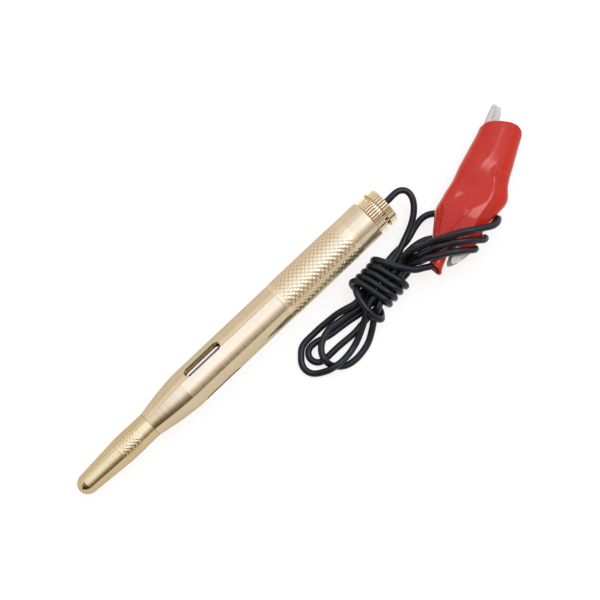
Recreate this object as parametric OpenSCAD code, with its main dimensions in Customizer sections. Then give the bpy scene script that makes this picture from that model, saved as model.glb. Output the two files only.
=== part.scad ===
// Test light for vehicle circuits: a turned brass pen with a bulb behind three windows,
// and a lead with a crocodile clip, folded into a hank and laid beside the pen.
// Millimetres. The pen lies along X, its tip towards -X, and rests on Z = 0.

/* [Probe cap] */
// Length of the screw-on probe cap, tip to seam
cap_len = 27.5; // [24:0.5:34]
// Outside diameter of the cap at the seam
cap_d = 8; // [7.6:0.1:9]
// Diameter where the cap's dome begins
cap_tip_d = 6.2; // [5.4:0.1:7]
// Length of the cap's rounded tip
cap_dome_len = 3.3; // [2.5:0.1:4]
// Length of the grip band cut round the cap
cap_band_len = 6.8; // [4:0.1:8]
// Smooth length between the grip band and the seam
cap_collar_len = 4.6; // [3:0.1:6]

/* [Barrel] */
// Outside diameter of the barrel
barrel_d = 12; // [11.4:0.1:14]
// Length of the cone behind the cap
cone_len = 13.9; // [12:0.1:18]
// How far the cone's side swells past a straight line
cone_swell = 0.22; // [0:0.02:0.4]
// Length of the cylindrical body
body_len = 72; // [68:0.5:90]
// Wall of the barrel behind the cone
barrel_wall = 1.1; // [0.8:0.1:1.2]
// Diameter of the threaded spigot that the cap screws on
spigot_d = 5.8; // [5.6:0.1:6.2]
// Length of that spigot
spigot_len = 5.9; // [4:0.1:8]

/* [Windows] */
// Number of windows round the barrel
window_count = 3; // [1:1:5]
// Width of a window
window_w = 3; // [2:0.1:4]
// Length of a window, end to end
window_len = 13.4; // [10:0.1:15]
// Distance from the cone's end to the window
window_start = 2.6; // [2.4:0.1:4]
// Angle of the first window from the top, towards +Y
window_angle = 30; // [0:1:60]

/* [End cap] */
// Length of the front fluted ring
front_ring_len = 2.6; // [2:0.1:4]
// Length of the groove between the rings
groove_len = 1.9; // [1:0.1:3]
// Length of the rear fluted ring
rear_ring_len = 2.1; // [1.5:0.1:4]
// Depth of the groove between the rings
groove_depth = 0.7; // [0.4:0.1:1]
// Number of flutes round a ring
flute_count = 43; // [24:1:48]
// Radius of one flute's hollow
flute_r = 0.3; // [0.2:0.02:0.4]
// Length of the end cap's spigot inside the barrel
end_spigot_len = 6.4; // [4:0.1:8]

/* [Needle and lamp] */
// Diameter of the steel needle
needle_d = 1.8; // [1.4:0.1:2]
// Length of the needle
needle_len = 24.2; // [20:0.1:24.5]
// Diameter of the lamp's glass
glass_d = 5.6; // [5:0.1:5.8]
// Length of glass between the lamp's two end caps
glass_len = 12.6; // [11:0.1:14]
// Length of one lamp end cap
lamp_cap_len = 6; // [5:0.1:7]
// Wire diameter of the contact spring
contact_wire = 0.5; // [0.4:0.05:0.6]
// Free turns of the contact spring
contact_turns = 7; // [4:1:9]
// Length of the contact spring
contact_len = 21; // [18:0.5:24]

/* [Lead] */
// Diameter of the lead
cord_d = 2; // [1.8:0.1:2]
// Width of the wound middle of the hank
wrap_w = 12.4; // [12.2:0.1:13]
// Height of the wound middle of the hank
wrap_h = 8; // [8:0.1:9]

/* [Clip] */
// Length of the jaws ahead of the pivot
jaw_len = 19; // [17:0.5:22]
// Length of the lever behind the pivot
lever_len = 30.4; // [28:0.1:31]
// Sheet thickness of the jaws
sheet = 0.5; // [0.4:0.05:0.6]
// Diameter of the pivot pin
pin_d = 1.5; // [1.2:0.1:1.6]
// Pitch of the jaw teeth
tooth_pitch = 1.5; // [1.2:0.1:2]
// Depth of the jaw teeth
tooth_depth = 0.7; // [0.4:0.05:0.8]
// Wall of the boot
boot_wall = 0.5; // [0.4:0.05:0.6]
// Length of the boot's tail sleeve
tail_len = 9; // [8:0.5:10]

/* [Hidden] */

$fn = 64;
fit = 0.05;
cap_r = cap_d / 2;
barrel_r = barrel_d / 2;
bore_r = barrel_r - barrel_wall;
spigot_r = spigot_d / 2;
cord_r = cord_d / 2;
needle_r = needle_d / 2;
glass_r = glass_d / 2;

// Places along the pen, measured from its tip
seam_at = cap_len;
cone_end = seam_at + cone_len;
body_end = cone_end + body_len;
pen_len = body_end + front_ring_len + groove_len + rear_ring_len;
axis_z = barrel_r;
tip_x = -pen_len / 2;
spigot_front = seam_at - spigot_len;
spigot_seat = 0.3;
nose_bore_r = spigot_r - 0.7;
throat_r = glass_r + 0.4;
throat_start = seam_at + 8.5;
bore_start = cone_end + 1.2;
window_at = cone_end + window_start;

// The insulating bush, the needle's holder and the lamp stack up from the throat
bush_flange_len = 1.2;
holder_head_len = 1.2;
holder_r = 1.35;
holder_front = spigot_front - 1.1;
holder_head_at = throat_start + bush_flange_len;
lamp_at = holder_head_at + holder_head_len;
nipple_len = 0.8;
glass_at = lamp_at + lamp_cap_len;
rear_cap_at = glass_at + glass_len;
lamp_end = rear_cap_at + lamp_cap_len;
glass_wall = 0.4;
lamp_cap_wall = 0.15;
lamp_cap_r = glass_r + lamp_cap_wall + fit;
needle_point = 5;
needle_end = holder_head_at - 8.2;
needle_tip = needle_end - needle_len;

// Behind the lamp
sleeve_front = rear_cap_at + 1.2;
sleeve_r = bore_r - fit;
sleeve_bore_r = lamp_cap_r + 0.15;
terminal_at = lamp_end + contact_len;
terminal_disc_len = 1.5;
terminal_len = 8;
terminal_cup_r = 0.8;
sleeve_shoulder = terminal_at + terminal_disc_len;
sleeve_neck_r = 2.2;
end_spigot_front = body_end - end_spigot_len;
plug_len = 3;
sleeve_end = end_spigot_front - plug_len;
conductor_r = 0.65;
strip_at = terminal_at + terminal_len + 1;
end_bore_r = cord_r + 0.6;
end_relief = 0.4;
chamfer = 0.25;

// Colours of the finished pieces
brass = [0.86, 0.76, 0.52];
dark_brass = [0.72, 0.58, 0.34];
steel = [0.78, 0.77, 0.76];
cord_black = [0.1, 0.1, 0.12];
boot_red = [0.8, 0.15, 0.12];

// Turns a shape made along +Z so that it runs along the pen, from the pen's tip
module along_pen() { translate([tip_x, 0, axis_z]) rotate([0, 90, 0]) children(); }

module turned(profile) { along_pen() rotate_extrude() polygon(profile); }

module probe_cap() {
    band_at = seam_at - cap_collar_len - cap_band_len;
    tip_r = cap_tip_d / 2;
    spigot_bore_r = spigot_r + fit;
    needle_bore_r = needle_r + 0.7;
    wall_front = 3.6;
    relief = 0.12;
    dome = [for (i = [0:8]) [tip_r * sin(i * 90 / 8), cap_dome_len * (1 - cos(i * 90 / 8))]];
    color(brass) turned(concat(dome, [
        [cap_r, band_at - relief],
        [cap_r - relief, band_at], [cap_r, band_at + relief],
        [cap_r, seam_at - cap_collar_len - relief],
        [cap_r - relief, seam_at - cap_collar_len], [cap_r, seam_at - cap_collar_len + relief],
        [cap_r, seam_at - chamfer / 2], [cap_r - chamfer / 2, seam_at],
        [spigot_bore_r, seam_at], [spigot_bore_r, spigot_front - spigot_seat],
        [needle_bore_r, spigot_front - spigot_seat], [needle_bore_r, wall_front + 1],
        [0, wall_front]]));
}

// Radius of the cone's side at a share t of its length
function cone_r(t) = cap_r + (barrel_r - cap_r) * t + cone_swell * sin(180 * t);

module barrel() {
    steps = 8;
    side = [for (i = [0:steps]) [cone_r(i / steps), seam_at + cone_len * i / steps]];
    color(brass) difference() {
        turned(concat(
            [[nose_bore_r, spigot_front], [spigot_r - chamfer, spigot_front],
             [spigot_r, spigot_front + chamfer], [spigot_r, seam_at]],
            side,
            [[barrel_r, body_end - chamfer / 2], [barrel_r - chamfer / 2, body_end],
             [bore_r, body_end], [bore_r, bore_start], [throat_r, bore_start],
             [throat_r, throat_start], [nose_bore_r, throat_start]]));
        for (i = [0:window_count - 1]) window_cut(window_angle + i * 360 / window_count);
    }
}

// A long hole with round ends, through one side of the barrel
module window_cut(angle) {
    half = window_len / 2 - window_w / 2;
    translate([tip_x + window_at + window_len / 2, 0, axis_z]) rotate([-angle, 0, 0])
        translate([0, 0, throat_r]) linear_extrude(barrel_r) {
            square([2 * half, window_w], center = true);
            for (s = [-1, 1]) translate([s * half, 0]) circle(d = window_w);
        }
}

module needle() {
    color(steel) turned([[0, needle_tip], [0.12, needle_tip + 0.1], [needle_r, needle_tip + needle_point],
        [needle_r, needle_end], [0, needle_end]]);
}

module needle_holder() {
    color(dark_brass) turned([[needle_r + fit, holder_front], [holder_r, holder_front],
        [holder_r, holder_head_at], [throat_r - 0.4, holder_head_at], [throat_r - 0.4, lamp_at],
        [0, lamp_at], [0, needle_end], [needle_r + fit, needle_end]]);
}

module nose_bush() {
    color([0.85, 0.83, 0.76]) turned([[holder_r + fit, spigot_front + 0.2],
        [nose_bore_r - fit, spigot_front + 0.2], [nose_bore_r - fit, throat_start],
        [throat_r - fit, throat_start], [throat_r - fit, holder_head_at],
        [holder_r + fit, holder_head_at]]);
}

// Pressed metal cup on the end of the lamp: from the contact face towards the glass
function lamp_cup(face, way) = [[0, face], [1.4, face], [1.6, face + way * nipple_len],
    [lamp_cap_r - 0.3, face + way * nipple_len], [lamp_cap_r, face + way * (nipple_len + 0.3)],
    [lamp_cap_r, face + way * lamp_cap_len],
    [glass_r + fit, face + way * lamp_cap_len],
    [glass_r + fit, face + way * (nipple_len + lamp_cap_wall + 0.4)],
    [0, face + way * (nipple_len + lamp_cap_wall + 0.4)]];

module lamp_front_cap() { color(steel) turned(lamp_cup(lamp_at, 1)); }

module lamp_rear_cap() { color(steel) turned(lamp_cup(lamp_end, -1)); }

// Drawn glass tube, necked in at both ends where its wires pass
module lamp_glass() {
    inset = nipple_len + lamp_cap_wall + 0.6;
    a = lamp_at + inset;
    b = lamp_end - inset;
    neck_r = 0.9;
    hole_r = 0.5;
    outer_r = glass_r;
    inner_r = glass_r - glass_wall;
    color([0.85, 0.92, 0.95, 0.4]) turned([[hole_r, a], [neck_r, a], [outer_r, a + 1.6],
        [outer_r, b - 1.6], [neck_r, b], [hole_r, b], [hole_r, b - 0.6],
        [inner_r, b - 2], [inner_r, a + 2], [hole_r, a + 0.6]]);
}

// A helix of round wire about Z, between two heights, on a radius r(t)
function helix_point(r, z0, z1, turns, t) =
    [r * cos(360 * turns * t), r * sin(360 * turns * t), z0 + (z1 - z0) * t];

function helix_route(r, z0, z1, turns, steps) =
    [for (i = [0:steps]) helix_point(r, z0, z1, turns, i / steps)];

module lamp_filament() {
    inset = nipple_len + lamp_cap_wall + 0.6;
    a = lamp_at + inset;
    b = lamp_end - inset;
    mid = (a + b) / 2;
    half = 2.5;
    coil = helix_route(0.5, mid - half, mid + half, 5, 50);
    color([0.8, 0.78, 0.7]) along_pen() sweep(concat([[0, 0, a], [0, 0, mid - half - 0.8]], coil,
        [[0, 0, mid + half + 0.8], [0, 0, b]]), 0.12, 5);
}

module insulating_sleeve() {
    color([0.62, 0.45, 0.25]) turned([[sleeve_bore_r, sleeve_front], [sleeve_r, sleeve_front],
        [sleeve_r, sleeve_end], [sleeve_neck_r, sleeve_end], [sleeve_neck_r, sleeve_shoulder],
        [sleeve_bore_r, sleeve_shoulder]]);
}

module contact_spring() {
    wire_r = contact_wire / 2;
    coil_r = sleeve_bore_r - 0.4 - wire_r;
    color(steel) along_pen() {
        sweep(helix_route(coil_r, lamp_end + wire_r + fit, terminal_at - wire_r - fit,
            contact_turns, contact_turns * 12), wire_r, 6);
    }
}

module contact_terminal() {
    r = sleeve_bore_r - 0.15;
    stem_r = sleeve_neck_r - 0.4;
    color(dark_brass) turned([[0, terminal_at], [r, terminal_at], [r, terminal_at + terminal_disc_len],
        [stem_r, terminal_at + terminal_disc_len], [stem_r, terminal_at + terminal_len],
        [terminal_cup_r, terminal_at + terminal_len], [terminal_cup_r, terminal_at + 3],
        [0, terminal_at + 3]]);
}

module inner_conductor() {
    color([0.75, 0.45, 0.28]) along_pen() translate([0, 0, terminal_at + 3])
        cylinder(r = conductor_r, h = strip_at - terminal_at - 3);
}

module inner_lead() {
    color(cord_black) along_pen() translate([0, 0, strip_at])
        cylinder(r = cord_r, h = pen_len - strip_at);
}

module sleeve_plug() {
    color([0.85, 0.83, 0.76]) turned([[cord_r + fit, sleeve_end], [sleeve_r, sleeve_end],
        [sleeve_r, end_spigot_front], [cord_r + fit, end_spigot_front]]);
}

// One ring of the end cap, fluted along the pen, with its corners broken
module fluted_ring(at, len) {
    intersection() {
        along_pen() translate([0, 0, at]) linear_extrude(len) difference() {
            circle(barrel_r, $fn = 96);
            for (i = [0:flute_count - 1]) rotate(i * 360 / flute_count)
                translate([barrel_r + 0.02, 0]) circle(flute_r, $fn = 16);
        }
        turned([[0, at], [barrel_r - chamfer, at], [barrel_r, at + chamfer],
            [barrel_r, at + len - chamfer], [barrel_r - chamfer, at + len], [0, at + len]]);
    }
}

module end_cap() {
    groove_at = body_end + front_ring_len;
    rear_at = groove_at + groove_len;
    groove_r = barrel_r - groove_depth;
    bore_cut = 1;
    color(brass) difference() {
        union() {
            fluted_ring(body_end, front_ring_len);
            fluted_ring(rear_at, rear_ring_len);
            turned([[0, end_spigot_front], [bore_r - fit - chamfer, end_spigot_front],
                [bore_r - fit, end_spigot_front + chamfer], [bore_r - fit, body_end + 0.5],
                [groove_r, body_end + 0.5], [groove_r, rear_at + 0.5], [0, rear_at + 0.5]]);
        }
        turned([[0, end_spigot_front - bore_cut], [end_bore_r, end_spigot_front - bore_cut],
            [end_bore_r, pen_len + bore_cut], [0, pen_len + bore_cut]]);
    }
}

module cord_bush() {
    color(cord_black) turned([[cord_r + fit, end_spigot_front], [end_bore_r - fit, end_spigot_front],
        [end_bore_r - fit, pen_len - end_relief], [cord_r + fit, pen_len - end_relief]]);
}

// A tube of round section along a route, its rings square to the route and closed at both ends
function unit(v) = v / norm(v);

function route_way(route, i) =
    unit(route[min(i + 1, len(route) - 1)] - route[max(i - 1, 0)]);

// Carries a side direction along the route without twist
function carry(route, side, i) =
    let (way = route_way(route, i), s = side - (side * way) * way) unit(s);

function sides_from(route, start) =
    [for (i = 0, s = carry(route, start, 0); i < len(route);
        i = i + 1, s = i < len(route) ? carry(route, s, i) : s) s];

module sweep(route, r, sides) {
    first = route_way(route, 0);
    start = abs(first[2]) < 0.7 ? [0, 0, 1] : [1, 0, 0];
    across = sides_from(route, start);
    n = len(route);
    points = [for (i = [0:n - 1], k = [0:sides - 1])
        let (way = route_way(route, i), up = across[i], out = cross(way, up), a = 360 * k / sides)
        route[i] + r * (cos(a) * up + sin(a) * out)];
    walls = [for (i = [0:n - 2], k = [0:sides - 1])
        let (a = i * sides + k, b = i * sides + (k + 1) % sides) [a, b, b + sides, a + sides]];
    polyhedron(points, concat(walls, [[for (k = [sides - 1:-1:0]) k]],
        [[for (k = [0:sides - 1]) (n - 1) * sides + k]]), convexity = 8);
}

// A smooth curve through hand-set points, in even steps, and the tube swept along it
function knot_gap(a, b) = pow(norm(b - a), 0.5);

function blend(a, b, ta, tb, t) = ((tb - t) * a + (t - ta) * b) / (tb - ta);

function curve_point(p, t1, t2, t3, t) = let (
    a1 = blend(p[0], p[1], 0, t1, t), a2 = blend(p[1], p[2], t1, t2, t),
    a3 = blend(p[2], p[3], t2, t3, t), b1 = blend(a1, a2, 0, t2, t), b2 = blend(a2, a3, t1, t3, t))
    blend(b1, b2, t1, t2, t);

function curve_piece(p, steps) = let (
    t1 = knot_gap(p[0], p[1]), t2 = t1 + knot_gap(p[1], p[2]), t3 = t2 + knot_gap(p[2], p[3]))
    [for (i = [0:steps - 1]) curve_point(p, t1, t2, t3, t1 + (t2 - t1) * i / steps)];

function padded(points) = let (n = len(points)) concat([2 * points[0] - points[1]], points,
    [2 * points[n - 1] - points[n - 2]]);

function smooth(points, step) = let (q = padded(points), n = len(points)) concat(
    [for (i = [0:n - 2]) each curve_piece([q[i], q[i + 1], q[i + 2], q[i + 3]],
        max(1, round(norm(q[i + 2] - q[i + 1]) / step)))], [points[n - 1]]);

module cord(points) { color(cord_black) sweep(smooth(points, ring_step), cord_r, 8); }

ring_step = 4;

// The lead's route, set by hand. It leaves the end cap, passes through the wound middle,
// makes three loops over and under the clip's boot, and ends in the boot's tail.
hank_face = 49.5;
wrap_back = 34.5;
wrap_mid_y = -16;
lead_route = [[pen_len / 2, 0, axis_z], [61.6, 0, 6], [63.2, 0, 6], [64.8, -0.2, 5.9],
    [66.3, -1, 5.7], [67.2, -2.6, 5.4], [66.9, -4.6, 5], [65.6, -6.5, 4.6], [63.8, -8.2, 4.1],
    [61.8, -9.6, 3.8], [59.4, -10.8, 3.7], [56.3, -12, 4], [53, -13.3, 4.7],
    [hank_face + 1, -13.7, 4.8], [hank_face, -13.7, 4.8]];
loop_1_route = [[hank_face, -15.8, 4.8], [hank_face + 1, -15.8, 4.8], [52, -15.7, 5.2],
    [54.6, -15.8, 6.9], [57.4, -16.4, 9.3],
    [60.6, -17.8, 11.5], [64.2, -19.7, 12.9], [68, -22, 13.1], [71.6, -23.9, 12.4],
    [74.9, -25.2, 11.2], [77.6, -26, 9.3], [79.1, -26.4, 7], [79.3, -26.3, 4.6],
    [78.1, -25.7, 2.6], [76.2, -24.6, 1.4], [74.1, -22.8, 1.05], [72.1, -20.2, 1.05],
    [70.6, -17.1, 1.05], [69.4, -14, 1.05], [67.5, -11.4, 1.05], [64.7, -10.3, 1.05],
    [61.3, -10.6, 1.05], [57.9, -11.6, 1.15], [54.8, -12.3, 1.8], [52, -12.6, 2.6],
    [hank_face + 1, -12.7, 3], [hank_face, -12.7, 3]];
loop_2_route = [[hank_face, -17.9, 4.8], [hank_face + 1, -17.9, 4.8], [52, -17.8, 5.2],
    [54.6, -18, 6.9], [57.4, -18.7, 9.3],
    [60.6, -20.3, 11.4], [64, -22.3, 12.5], [67.3, -24.3, 12.5], [70, -25.9, 11.6],
    [72.2, -27.1, 10], [73.5, -27.8, 7.8], [73.7, -27.8, 5.5], [73, -27.2, 3.4],
    [71.6, -25.9, 1.8], [69.8, -23.8, 1.1], [67.8, -21.4, 1.05], [65.9, -18.8, 1.05],
    [63.8, -16.5, 1.05], [61.3, -15.1, 1.05], [58.3, -14.5, 1.15], [55.4, -14.5, 1.7],
    [52.4, -14.7, 2.7], [hank_face + 1, -14.8, 3], [hank_face, -14.8, 3]];
loop_3_route = [[hank_face, -18.6, 6.6], [hank_face + 1, -18.6, 6.6], [51.9, -19, 7],
    [54.2, -20, 8.4], [57, -21.1, 10.7],
    [60, -22.6, 12.1], [63.2, -24.4, 12.5], [66, -26.1, 12.1], [68.2, -27.5, 11],
    [69.9, -28.2, 9], [70.4, -28.1, 6.5], [69.9, -27.5, 3.9], [68.7, -26.1, 1.9],
    [66.9, -24.2, 1.1], [64.8, -21.5, 1.05], [62.4, -19.1, 1.05], [59.5, -17.4, 1.05],
    [56.3, -16.7, 1.4], [53, -16.8, 2.4], [hank_face + 1, -16.9, 3], [hank_face, -16.9, 3]];
wrap_side = wrap_mid_y - wrap_w / 2;
tail_route = [[45.9, wrap_side, 6.8], [45.9, wrap_side - 1, 6.8], [46.5, -24.6, 6.8],
    [48, -26.4, 7], [50.3, -27.2, 7.5], [52.7, -26.6, 8.1], [54.6, -25.4, 8.5],
    [56.4, -24.3, 8.75], [58.2, -23.35, 8.65]];

module cord_lead() { cord(lead_route); }

module cord_loop_1() { cord(loop_1_route); }

module cord_loop_2() { cord(loop_2_route); }

module cord_loop_3() { cord(loop_3_route); }

module cord_tail() { cord(tail_route); }

// The wound middle: five turns round seven strands, as one rounded block

module cord_hank_wrap() {
    r = 2.5;
    half = wrap_w / 2;
    color(cord_black) translate([0, wrap_mid_y, 0]) linear_extrude(wrap_h) {
        polygon([[wrap_back, -half + r], [wrap_back + r, -half], [hank_face - r, -half],
            [hank_face, -half + r], [hank_face, half - r], [hank_face - r, half],
            [wrap_back + r, half], [wrap_back, half - r]]);
        for (x = [wrap_back + r, hank_face - r], s = [-1, 1]) translate([x, s * (half - r)]) circle(r);
    }
}

// The loops that lie on the floor towards the pen's tip
loops_h = 4.2;
loops_r = 7.2;
loops_far = [16.2, -19];
loops_near = [26, -20.6];
loops_root = 8.6;
loops_root_y = -16.2;

module cord_hank_loops() {
    color(cord_black) linear_extrude(loops_h) {
        for (c = [loops_far, loops_near]) translate(c) circle(loops_r);
        polygon([loops_far + loops_r * [-0.2, -0.98], loops_near + loops_r * [-0.2, -0.98],
            [wrap_back, loops_root_y - loops_root / 2], [wrap_back, loops_root_y + loops_root / 2],
            loops_near + loops_r * [0.16, 0.98], loops_far + loops_r * [0.14, 0.98]]);
    }
}

// The clip: X ahead along the jaws, Y towards the fixed arm, Z along the pivot pin
clip_at = [87, -10.5, 6];
clip_turn = [10, 4, 28.5];
tail_y = 2.5;

module place_clip() { translate(clip_at) rotate(clip_turn) children(); }

pin_r = pin_d / 2;
fixed_half = 2.2;
lever_half = fixed_half + sheet + 0.1;
jaw_root_half = 1.7;
jaw_tip_half = 1.05;
ear_r = 1.8;
tooth_start = 7;
tooth_gap = 0.12;
web_y = 2.7;
lever_web_y = 3;
lever_back_y = -5.1;
lever_end_y = -5.7;
crimp_r = 1.4;
arm_rear_half = 1.25;
boot_rear = -24.5;
tail_end = boot_rear - tail_len;

tooth_count = floor((jaw_len - tooth_start) / tooth_pitch);

// The zigzag line where the jaws meet, from the jaw root to the tip
function bite(shift) = concat([[tooth_start, shift]], [for (i = [0:tooth_count - 1])
    each [[tooth_start + (i + 0.35) * tooth_pitch, tooth_depth / 2 + shift],
          [tooth_start + (i + 0.85) * tooth_pitch, -tooth_depth / 2 + shift]]],
    [[jaw_len, shift]]);

function reversed(list) = [for (i = [len(list) - 1:-1:0]) list[i]];

// What a side outline and a plan outline have in common
module pressed(side, plan, half) {
    intersection() {
        translate([0, 0, -half]) linear_extrude(2 * half) polygon(side);
        rotate([90, 0, 0]) linear_extrude(2 * jaw_len, center = true) polygon(plan);
    }
}

// The corners between a lever's back and its flanks, cut off by a slope that deepens rearward
corner_start = [-6, -3.4, lever_half];
corner_side = [-24.5, -3.3, lever_half];
corner_back = [-24.5, lever_back_y, 1.4];
corner_way = unit(cross(corner_back - corner_side, corner_start - corner_side));

module cut_corners(inset) {
    far = 2 * lever_len;
    for (m = [0, 1]) mirror([0, 0, m]) translate(corner_side - inset * corner_way)
        rotate([0, acos(corner_way[2]), atan2(corner_way[1], corner_way[0])])
            translate([-far, -far, 0]) cube([2 * far, 2 * far, far]);
}

// A plan outline, equal on both sides of the middle, from [x, half width] pairs
function both_sides(edge) = concat(edge, [for (p = reversed(edge)) [p[0], -p[1]]]);

function narrowed(edge, by) = [for (p = edge) [p[0], p[1] - by]];

module clip_fixed_arm() {
    bite_y = tooth_gap / 2;
    web = [[jaw_len, 0.95], [jaw_len - 2, 1.25], [tooth_start, 2.1], [3, web_y], [-3, web_y],
        [-18, 4.6], [-22, 4.5], [boot_rear - 1, tail_y + crimp_r]];
    rim = [[boot_rear - 1, tail_y], [-22, 3], [-18, 2.9], [-6, 1.4], [-3, 0], [-1.3, -1.3],
        [0, -ear_r], [1.3, -1.3], [3, 0.3]];
    plan = both_sides([[boot_rear - 1, arm_rear_half], [-20, arm_rear_half], [-12, fixed_half],
        [3.5, fixed_half], [tooth_start, jaw_root_half], [jaw_len, jaw_tip_half]]);
    hollow_web = [for (p = web) [p[0], p[1] - sheet]];
    hollow = concat([[jaw_len - sheet, -5]], [[jaw_len - sheet, 0.95 - sheet]],
        [for (i = [1:len(hollow_web) - 1]) hollow_web[i]], [[boot_rear - 2, tail_y + crimp_r - sheet]],
        [[boot_rear - 2, -5]]);
    hollow_plan = both_sides([[boot_rear - 2, arm_rear_half - sheet], [-20, arm_rear_half - sheet],
        [-12, fixed_half - sheet], [3.5, fixed_half - sheet], [tooth_start, jaw_root_half - sheet],
        [jaw_len - sheet, jaw_tip_half - sheet]]);
    color(steel) place_clip() {
        difference() {
            pressed(concat(web, rim, bite(bite_y)), plan, fixed_half);
            pressed(hollow, hollow_plan, fixed_half + 1);
            translate([0, 0, -5]) cylinder(r = pin_r + fit, h = 10);
        }
        crimp();
    }
}

// The barrel at the end of the fixed arm, closed round the lead
module crimp() {
    translate([boot_rear - 4, tail_y, 0]) rotate([0, 90, 0])
        linear_extrude(3.2) difference() {
            circle(crimp_r);
            circle(cord_r + fit);
        }
}

module clip_lever_arm() {
    end_x = -lever_len;
    nose_x = jaw_len - 0.3;
    bite_y = -tooth_gap / 2;
    web = [[nose_x, -1.35], [nose_x - 1.7, -1.9], [tooth_start, -2.9], [3, -lever_web_y],
        [-3, -lever_web_y], [boot_rear - 0.3, lever_back_y], [end_x + 5, lever_end_y]];
    flank_end = [[end_x + 3.4, -4.7], [end_x + 1.5, -3.3], [end_x + 0.4, -2.1], [end_x, -1.3],
        [end_x + 0.3, -0.9], [end_x + 1, -0.7]];
    rim = [[-14, -0.9], [-6, -0.2], [-3, 0.6], [-1.3, 1.3], [0, ear_r], [1.3, 1.3], [3, -0.3]];
    edge = [[end_x, lever_half], [3.5, lever_half], [tooth_start, jaw_root_half],
        [nose_x, jaw_tip_half]];
    hollow = concat([[nose_x - sheet, 5], [nose_x - sheet, -1.35 + sheet]],
        [for (i = [1:len(web) - 1]) web[i] + [0, sheet]], [[end_x - 1, lever_end_y],
        [end_x - 1, 5]]);
    hollow_edge = [[end_x - 1, lever_half - sheet], [3.5, lever_half - sheet],
        [tooth_start, jaw_root_half - sheet], [nose_x - sheet, jaw_tip_half - sheet]];
    lower_bite = [for (p = bite(bite_y)) [min(p[0], nose_x), p[1]]];
    color(steel) place_clip() difference() {
        pressed(concat(web, flank_end, rim, lower_bite), both_sides(edge), lever_half);
        cut_corners(0);
        difference() {
            pressed(hollow, both_sides(hollow_edge), lever_half + 1);
            cut_corners(sheet);
        }
        translate([0, 0, -5]) cylinder(r = pin_r + fit, h = 10);
    }
}

module clip_pivot_pin() {
    head_r = 1.25;
    head_len = 0.4;
    half = lever_half + fit;
    color(steel) place_clip() rotate_extrude() polygon([[0, -half - head_len],
        [head_r - 0.3, -half - head_len], [head_r, -half - head_len / 2], [head_r, -half],
        [pin_r, -half], [pin_r, half], [head_r, half], [head_r, half + head_len / 2],
        [head_r - 0.3, half + head_len], [0, half + head_len]]);
}

module clip_spring() {
    wire_r = 0.22;
    coil_r = pin_r + 0.12 + wire_r;
    half = fixed_half - sheet - wire_r - 0.15;
    leg_x = -9;
    lever_slope = (lever_back_y + lever_web_y) / (boot_rear + 3);
    lever_y = -lever_web_y + lever_slope * (leg_x + 3);
    leg_top = [leg_x, web_y - sheet + 0.55, half];
    leg_low = [leg_x, lever_y + sheet + wire_r + fit, -half];
    turns = 3;
    coil = [for (i = [0:turns * 10]) let (a = 100 - 36 * i)
        [coil_r * cos(a), coil_r * sin(a), half - 2 * half * i / (turns * 10)]];
    color(steel) place_clip() sweep(concat([leg_top], coil, [leg_low]), wire_r, 6);
}

// The lead's last stretch, straight inside the tail and the crimp, and its bare strands
lead_end_x = -31.5;
strip_x = boot_rear - 1 - fit;

module clip_lead_end() {
    color(cord_black) place_clip() translate([lead_end_x, tail_y, 0]) rotate([0, 90, 0])
        cylinder(r = cord_r, h = strip_x - lead_end_x);
}

module clip_wire_end() {
    color([0.75, 0.45, 0.28]) place_clip() translate([strip_x, tail_y, 0])
        rotate([0, 90, 0]) cylinder(r = conductor_r, h = 3.5);
}

// Sections of the boot from its mouth back: place, middle across, half width, middle up, half height
boot_sections = [[14, -3.7, 6.1, 0.5, 4.7], [9, -3.5, 6.4, 0.4, 4.9], [3.5, -3.1, 7, 0.3, 5.1],
    [-2.5, -2.7, 7.7, 0.2, 5.3], [-7, -3, 8.6, 0, 5.3], [-12, -1.5, 8.2, 0, 5.1],
    [-16, -0.3, 8, 0, 4.8], [-20, -0.1, 6.9, 0, 4.3], [boot_rear, -0.2, 6.1, 0, 3.7]];
tail_sections = [[-20.5, 3.6, 3, 0, 2], [boot_rear, 3.2, 2.7, 0, 2], [-27, 2.7, 2.3, 0, 2],
    [-29, tail_y, 2.05, 0, 2], [-31.5, tail_y, 1.95, 0, 1.95], [tail_end, tail_y, 1.85, 0, 1.85]];
boot_sides = 28;
boot_square = 2.6;

function rounded(c) = sign(c) * pow(abs(c), 2 / boot_square);

function boot_ring(s, inset) = [for (k = [0:boot_sides - 1]) let (a = 360 * k / boot_sides)
    [s[0], s[1] + (s[2] - inset) * rounded(cos(a)), s[3] + (s[4] - inset) * rounded(sin(a))]];

// A tube through rings of equal count, the outer ones from front to back and the inner ones forward
module ring_tube(rings) {
    n = len(rings);
    m = len(rings[0]);
    points = [for (r = rings) each r];
    walls = [for (i = [0:n - 1], k = [0:m - 1]) let (j = (i + 1) % n, l = (k + 1) % m)
        each [[i * m + k, j * m + l, j * m + k], [i * m + k, i * m + l, j * m + l]]];
    polyhedron(points, walls, convexity = 6);
}

// A hollow sleeve through a list of sections, with one wall thickness
module sleeve_tube(sections) {
    outer = [for (s = sections) boot_ring(s, 0)];
    inner = [for (s = reversed(sections)) boot_ring(s, boot_wall)];
    ring_tube(concat(outer, inner));
}

module clip_boot() {
    color(boot_red) place_clip() {
        sleeve_tube(boot_sections);
        sleeve_tube(tail_sections);
    }
}

probe_cap();
barrel();
needle();
needle_holder();
nose_bush();
lamp_front_cap();
lamp_glass();
lamp_filament();
lamp_rear_cap();
insulating_sleeve();
contact_spring();
contact_terminal();
inner_conductor();
inner_lead();
sleeve_plug();
end_cap();
cord_bush();
cord_lead();
cord_loop_1();
cord_loop_2();
cord_loop_3();
cord_tail();
cord_hank_wrap();
cord_hank_loops();
clip_fixed_arm();
clip_lever_arm();
clip_pivot_pin();
clip_spring();
clip_lead_end();
clip_wire_end();
clip_boot();
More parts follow.
